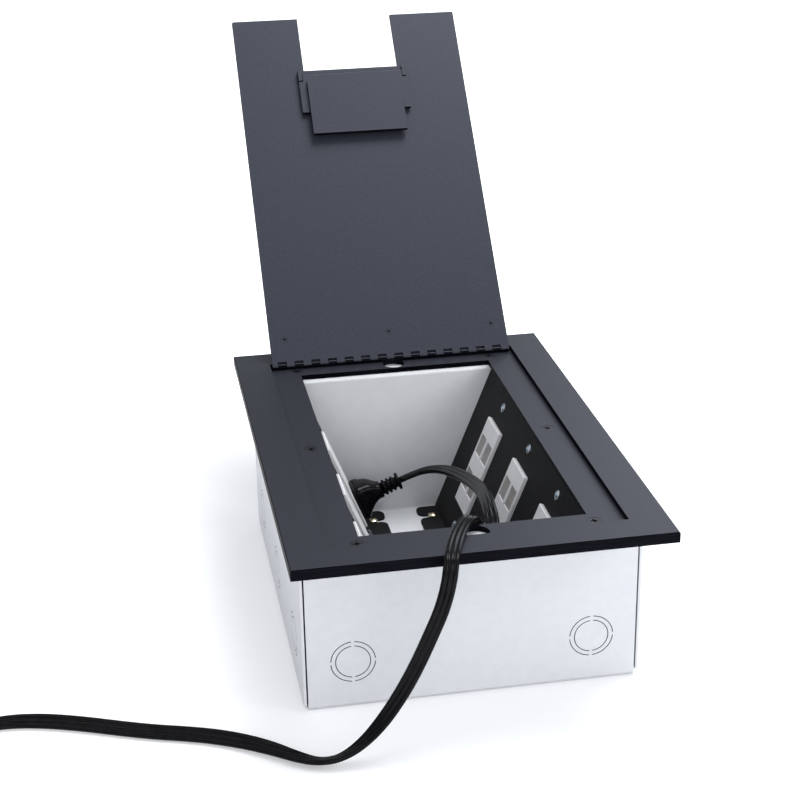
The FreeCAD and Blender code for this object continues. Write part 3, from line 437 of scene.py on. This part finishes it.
rim_coat = faces_and_edges("satin_powder_coat_on_rim", (0.0, 0.0, 1.0), "#17181F", "#1C1E26")
dress(rim_coat, "ledge_plate", "trim_ring", "hinge_frame_leaf")

# Black oxide on steel: dark, oily, a dull glint on the recess edges.
black_oxide = finish("black_oxide_on_steel", patch=0.002, colours=("#1B1C20", "#34363C"),
                     grain=0.0007, depth=0.00002, rough=(0.35, 0.5), metallic=0.7)
dress(black_oxide, "ring_screws")

ledge_screw_top = 0.1166        # the heads lie flush in the ledge plate
corner_screw_x = 0.072
corner_screw_y = 0.139975
side_screw_x = 0.0802
ledge_head = {"Head Radius": 0.0042, "Seat Radius": 0.0020, "Head Height": 0.00253, "Dome": 0.0,
              "Shank Radius": 0.0020, "Shank Length": 0.00647,
              "Recess Size": 0.0046, "Recess Depth": 0.0012}
ledge_seat_z = ledge_screw_top - ledge_head["Head Height"]
ledge_seats = [(x * corner_screw_x, y * corner_screw_y, ledge_seat_z) for x in (-1, 1) for y in (-1, 1)]
ledge_seats += [(-side_screw_x, 0.0, ledge_seat_z), (side_screw_x, 0.0, ledge_seat_z)]
driven_screws("ledge_screws", "box", black_oxide, ledge_seats, (0.0, 0.0, 1.0),
              ledge_head)


# ------------------------------------------------------------------ hinge, lid and cable door
# The lid is one coated plate on a continuous hinge with rolled knuckles, let in flush and held by
# three small countersunk screws.  The cable door is a plate on a backing that turns on its own pin.

lid_open = math.radians(133)    # from closed
lid_face = Vector((0.0, math.sin(lid_open), math.cos(lid_open)))
# Its cut edges, too, are painted near-black as painted shade.
lid_coat = faces_and_edges("satin_powder_coat_on_lid", lid_face, "#23252D", "#292B34")
dress(lid_coat, "lid_plate", "hinge_lid_leaf", "cable_door_plate", "cable_door_backing",
      "door_hinge_lugs")
dress(black_oxide, "hinge_pin", "cable_door_pin")

hinge_axis = Vector((0.0, 0.1459, 0.1189))
up_lid = Vector((0.0, -math.cos(lid_open), math.sin(lid_open)))
leaf_screw_rise = 0.0206        # up the lid, from the hinge's axis
leaf_screw_x = 0.078
leaf_face_offset = 0.00185      # of the leaf's face from the hinge's axis
leaf_head = {"Head Radius": 0.0026, "Seat Radius": 0.0012, "Head Height": 0.00161, "Dome": 0.0,
             "Shank Radius": 0.0012, "Shank Length": 0.00079,
             "Recess Size": 0.00286, "Recess Depth": 0.0012}
leaf_seat_offset = leaf_face_offset - leaf_head["Head Height"]
leaf_seat = hinge_axis + up_lid * leaf_screw_rise - lid_face * leaf_seat_offset
leaf_seats = [(x, leaf_seat.y, leaf_seat.z) for x in (-leaf_screw_x, 0.0, leaf_screw_x)]
driven_screws("lid_hinge_screws", "lid", lid_coat, leaf_seats, -lid_face, leaf_head)


# ------------------------------------------------------------------ lead
# Flat three-core flexible lead, black PVC extruded round three conductors, so it has three rounded
# ribs and two grooves on each face.  It is moulded into the plug at one end, leaves the box over the
# rim and ends in a moulded connector.  It bends over its flat faces and twists between bends.

rib_spacing = 0.0029
rib_radius = 0.00172
lead_exit = (-0.0084080, 0.07315, 0.0531093)

# Route: a point, and the way that one flat face looks there.
lead_route = [
    (lead_exit, (-0.35, 0.25, 0.90)),
    ((0.0045, 0.07315, 0.0583), (-0.35, 0.25, 0.90)),
    ((0.0145, 0.065, 0.0635), (-0.25, 0.10, 0.95)),
    ((0.0220, 0.046, 0.0705), (-0.35, 0.0, 0.93)),
    ((0.0275, 0.016, 0.0780), (-0.5, 0.0, 0.85)),
    ((0.0290, -0.018, 0.0865), (-0.6, -0.1, 0.80)),
    ((0.0270, -0.047, 0.0930), (-0.55, -0.1, 0.83)),
    ((0.0235, -0.074, 0.0970), (-0.4, -0.1, 0.9)),
    ((0.0215, -0.089, 0.0960), (-0.2, -0.3, 0.9)),
    ((0.0195, -0.1005, 0.0905), (-0.1, -0.7, 0.6)),
    ((0.0197, -0.1050, 0.0800), (0.2, -0.95, 0.2)),
    ((0.0203, -0.1040, 0.0710), (0.6, -0.75, -0.1)),
    ((0.0194, -0.1043, 0.0625), (0.7, -0.5, -0.4)),
    ((0.0155, -0.1080, 0.0555), (0.55, -0.3, -0.75)),
    ((0.0098, -0.1138, 0.0530), (0.0, 0.0, -1.0)),
    ((0.0042, -0.1194, 0.0555), (-0.55, 0.2, -0.75)),
    ((0.0004, -0.1228, 0.0630), (-0.65, 0.55, -0.3)),
    ((0.0002, -0.1230, 0.0725), (-0.5, 0.85, 0.0)),
    ((0.0012, -0.1231, 0.0840), (-0.2, 0.98, 0.1)),
    ((0.0025, -0.1233, 0.0970), (0.1, 1.0, 0.1)),
    ((0.0031, -0.1236, 0.1075), (0.25, 0.95, 0.1)),
    ((0.0025, -0.1256, 0.1170), (0.35, 0.75, 0.5)),
    ((-0.0020, -0.1315, 0.1229), (0.2, 0.3, 0.93)),
    ((-0.0080, -0.1395, 0.1227), (0.05, 0.0, 1.0)),
    ((-0.0140, -0.152, 0.1223), (0.0, 0.0, 1.0)),
    ((-0.0194, -0.167, 0.1224), (-0.05, -0.1, 0.99)),
    ((-0.0236, -0.180, 0.1212), (-0.10, -0.6, 0.8)),
    ((-0.0268, -0.1875, 0.1100), (-0.15, -0.97, 0.2)),
    ((-0.0315, -0.190, 0.0952), (-0.2, -0.96, 0.1)),
    ((-0.0385, -0.1908, 0.0795), (-0.25, -0.95, 0.1)),
    ((-0.0463, -0.191, 0.0618), (-0.35, -0.92, 0.1)),
    ((-0.0553, -0.191, 0.0446), (-0.55, -0.8, 0.1)),
    ((-0.0665, -0.191, 0.0272), (-0.65, -0.55, 0.4)),
    ((-0.0798, -0.1915, 0.0128), (-0.5, -0.1, 0.85)),
    ((-0.0935, -0.1925, 0.0052), (-0.15, 0.35, 0.93)),
    ((-0.1060, -0.1910, 0.0040), (0.0, 0.35, 0.93)),
    ((-0.1175, -0.1835, 0.0042), (0.0, 0.05, 0.98)),
    ((-0.1300, -0.1730, 0.0046), (0.0, -0.4, 0.9)),
    ((-0.1450, -0.1628, 0.0048), (0.0, -0.7, 0.7)),
    ((-0.1620, -0.1538, 0.0048), (0.0, -0.85, 0.5)),
    ((-0.1800, -0.1470, 0.0048), (0.0, -0.9, 0.42)),
    ((-0.1985, -0.1412, 0.0048), (0.0, -0.9, 0.42)),
    ((-0.2190, -0.1328, 0.0048), (0.0, -0.88, 0.45)),
    ((-0.2420, -0.1228, 0.0048), (0.0, -0.85, 0.5)),
    ((-0.2660, -0.1140, 0.0044), (0.0, -0.7, 0.7)),
    ((-0.2900, -0.1100, 0.0038), (0.0, -0.4, 0.9)),
    ((-0.3180, -0.1160, 0.0030), (0.0, 0.0, 1.0)),
]

# The spare length lies in a neat coil beside the box: flat turns on each other.
coil_middle = Vector((-0.376, -0.078, 0.0))
coil_reach = 0.049              # of its control points from its middle
coil_lead_in = 0.004            # how far its first point stands out
coil_floor = 0.0019             # half the lead's thickness and a little air
turn_rise = 0.0037              # each turn lies on the one before
level_share = 0.2               # of the first turn, before it starts to rise
coil_start = math.radians(-64)
coil_step = math.radians(-30)
coil_steps = 41
for i in range(coil_steps):
    angle = coil_start + i * coil_step
    reach = coil_reach + (coil_lead_in if i == 0 else 0.0)
    height = coil_floor + turn_rise * max(0.0, i * abs(coil_step) / math.tau - level_share)
    point = coil_middle + Vector((reach * math.cos(angle), reach * math.sin(angle), height))
    lead_route.append((tuple(point), (0.0, 0.0, 1.0)))
lead_route += [
    ((-0.4020, -0.0230, 0.0090), (-0.2, 0.2, 0.95)),
    ((-0.3850, -0.0165, 0.0060), (0.0, 0.1, 1.0)),
    ((-0.3700, -0.0160, 0.0060), (0.0, 0.0, 1.0)),
    ((-0.3550, -0.0160, 0.0085), (0.0, 0.0, 1.0)),
    ((-0.3400, -0.0160, 0.0085), (0.0, 0.0, 1.0)),
]


def spline_points(name, control_points):
    """Points along a smooth open spline with these control points."""
    curve = bpy.data.curves.new(name, "CURVE")
    curve.dimensions = "3D"
    spline = curve.splines.new("NURBS")
    spline.points.add(len(control_points) - 1)
    for target, source in zip(spline.points, control_points):
        target.co = (*source, 1.0)
    spline.order_u = 3
    spline.use_endpoint_u = True
    spline.resolution_u = 6
    holder = bpy.data.objects.new(name, curve)
    scene.collection.objects.link(holder)
    line = bpy.data.meshes.new_from_object(holder)
    points = [v.co.copy() for v in line.vertices]
    bpy.data.objects.remove(holder)
    return points


def ribbed_outline(radius, spacing, steps=5):
    """Outline of three round ribs merged in a row, as (across, up) pairs."""
    valley = math.acos(spacing / 2 / radius)
    outline = []
    for centre, start, end, count in ((spacing, valley - math.pi, math.pi - valley, 2 * steps),
                                      (0.0, valley, math.pi - valley, steps),
                                      (-spacing, valley, 2 * math.pi - valley, 2 * steps),
                                      (0.0, math.pi + valley, 2 * math.pi - valley, steps)):
        for i in range(count):
            angle = start + (end - start) * i / count
            outline.append((centre + radius * math.cos(angle), radius * math.sin(angle)))
    return outline


def skinned(name, mesh, rings):
    """Piece from rings of vertices: walls from each to the next, a cap on both ends, shaded smooth."""
    for ring, after in zip(rings, rings[1:]):
        for j in range(len(ring)):
            k = (j + 1) % len(ring)
            mesh.faces.new((ring[j], ring[k], after[k], after[j]))
    mesh.faces.new(list(reversed(rings[0])))
    mesh.faces.new(rings[-1])
    bmesh.ops.recalc_face_normals(mesh, faces=mesh.faces)
    data = bpy.data.meshes.new(name)
    mesh.to_mesh(data)
    mesh.free()
    for polygon in data.polygons:
        polygon.use_smooth = True
    made = bpy.data.objects.new(name, data)
    scene.collection.objects.link(made)
    return made


def swept(name, points, faces_up, outline):
    """Piece of an outline carried along points, its up side kept towards faces_up."""
    mesh = bmesh.new()
    rings = []
    for i, (point, up) in enumerate(zip(points, faces_up)):
        ahead = (points[min(i + 1, len(points) - 1)] - points[max(i - 1, 0)]).normalized()
        across = ahead.cross(up).normalized()
        face = across.cross(ahead)
        rings.append([mesh.verts.new(point + across * a + face * b) for a, b in outline])
    return skinned(name, mesh, rings)


lead_line = spline_points("lead_line", [point for point, _ in lead_route])
lead_faces = spline_points("lead_faces", [face for _, face in lead_route])
lead = swept("lead", lead_line, lead_faces, ribbed_outline(rib_radius, rib_spacing))

# Flexible PVC, extruded: black, a soft satin gloss, slightly uneven.
flexible_pvc = finish("flexible_pvc_extruded", patch=0.004, colours=("#08080A", "#101012"),
                      grain=0.0012, depth=0.00004, rough=(0.14, 0.24), specular=0.09)
lead.data.materials.append(flexible_pvc)


# ------------------------------------------------------------------ plug and connector
# Moulded PVC plug: a flange against the outlet's face, a grip that narrows to a neck, and a ribbed
# strain relief that ends in a collar.  Three blades are held in the moulding.

plug_axis = Vector((math.cos(panel_tilt), 0.0, math.sin(panel_tilt)))
plug_up = Vector((-math.sin(panel_tilt), 0.0, math.cos(panel_tilt)))
plug_side = Vector((0.0, 1.0, 0.0))
plug_length = 0.020
relief_length = 0.0145
plug_root = Vector(lead_exit) - plug_axis * (plug_length + relief_length)


def squared_ring(width, height, corner, count=32):
    """Points round a rectangle with rounded corners, as (across, up)."""
    ring = []
    for i in range(count):
        angle = math.tau * i / count
        across, up = (math.copysign(abs(part) ** (2 / corner), part)
                      for part in (math.cos(angle), math.sin(angle)))
        ring.append((width / 2 * across, height / 2 * up))
    return ring


def lofted(name, sections, root, axis, across, up):
    """Piece through sections of (distance along, width, height, corner power, shift up)."""
    mesh = bmesh.new()
    rings = []
    for along, width, height, corner, shift in sections:
        rings.append([mesh.verts.new(root + axis * along + across * a + up * (b + shift))
                      for a, b in squared_ring(width, height, corner)])
    return skinned(name, mesh, rings)


plug_sections = [(0.0, 0.0226, 0.0248, 5, 0), (0.0006, 0.0236, 0.0258, 5, 0),
                 (0.0046, 0.0236, 0.0258, 5, 0), (0.0056, 0.0232, 0.0252, 5, 0),
                 (0.0066, 0.0212, 0.0232, 4.5, 0.0006), (0.0090, 0.0196, 0.0208, 4, 0.0014),
                 (0.0118, 0.0176, 0.0178, 3.6, 0.0020), (0.0143, 0.0156, 0.0150, 3.4, 0.0018),
                 (0.0165, 0.0136, 0.0126, 3.2, 0.0010), (0.0185, 0.0124, 0.0114, 3.0, 0.0002),
                 (0.0196, 0.0120, 0.0112, 2.8, 0), (0.0200, 0.0110, 0.0104, 2.4, 0)]
plug = lofted("plug", plug_sections, plug_root, plug_axis, plug_side, plug_up)

first_ring = 0.0014
ring_pitch = 0.0032
ring_count = 3
ring_size = 0.0112
ring_taper = 0.0004             # each ring is that much smaller than the one before
ring_round = 0.0005
relief_sections = [(0.0, 0.0092, 0.0092, 2, 0)]
for i in range(ring_count):
    start, size = first_ring + ring_pitch * i, ring_size - ring_taper * i
    rounded = size - ring_round
    for along, across, corner in ((0.0, 0.0086, 2), (0.0002, rounded, 2.4), (0.0006, size, 2.4),
                                  (0.0017, size, 2.4), (0.0021, rounded, 2.4), (0.0023, 0.0082, 2)):
        relief_sections.append((start + along, across, across, corner, 0))
relief_sections += [(0.0118, 0.0080, 0.0078, 2, 0), (0.0120, 0.0112, 0.0112, 2.6, 0),
                    (0.0124, 0.0120, 0.0120, 2.6, 0), (0.0137, 0.0120, 0.0120, 2.6, 0),
                    (0.0141, 0.0112, 0.0112, 2.6, 0), (0.0145, 0.0096, 0.0060, 2.2, 0)]
relief = lofted("strain_relief", relief_sections, plug_root + plug_axis * plug_length,
                plug_axis, plug_side, plug_up)

# Moulded PVC: the same black and gloss, with a finer texture from the mould.
moulded_pvc = finish("flexible_pvc_moulded", patch=0.003, colours=("#070709", "#0F0F12"),
                     grain=0.0007, depth=0.00003, rough=(0.14, 0.24), specular=0.09)
plug.data.materials.append(moulded_pvc)
relief.data.materials.append(moulded_pvc)
dress(moulded_pvc, "cord_connector")

# Brass blades, rolled and polished, a little dulled.
brass = finish("brass_rolled", patch=0.002, colours=("#B0914F", "#CDB06C"),
               grain=0.0008, depth=0.00001, rough=(0.18, 0.34), metallic=1.0)
dress(brass, "plug_blades")

for piece in (lead, plug, relief):
    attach(piece, "box")
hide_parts("cord_run", "cord_coil", "cord_tail")
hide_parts("plug_body")
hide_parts("plug_strain_relief")
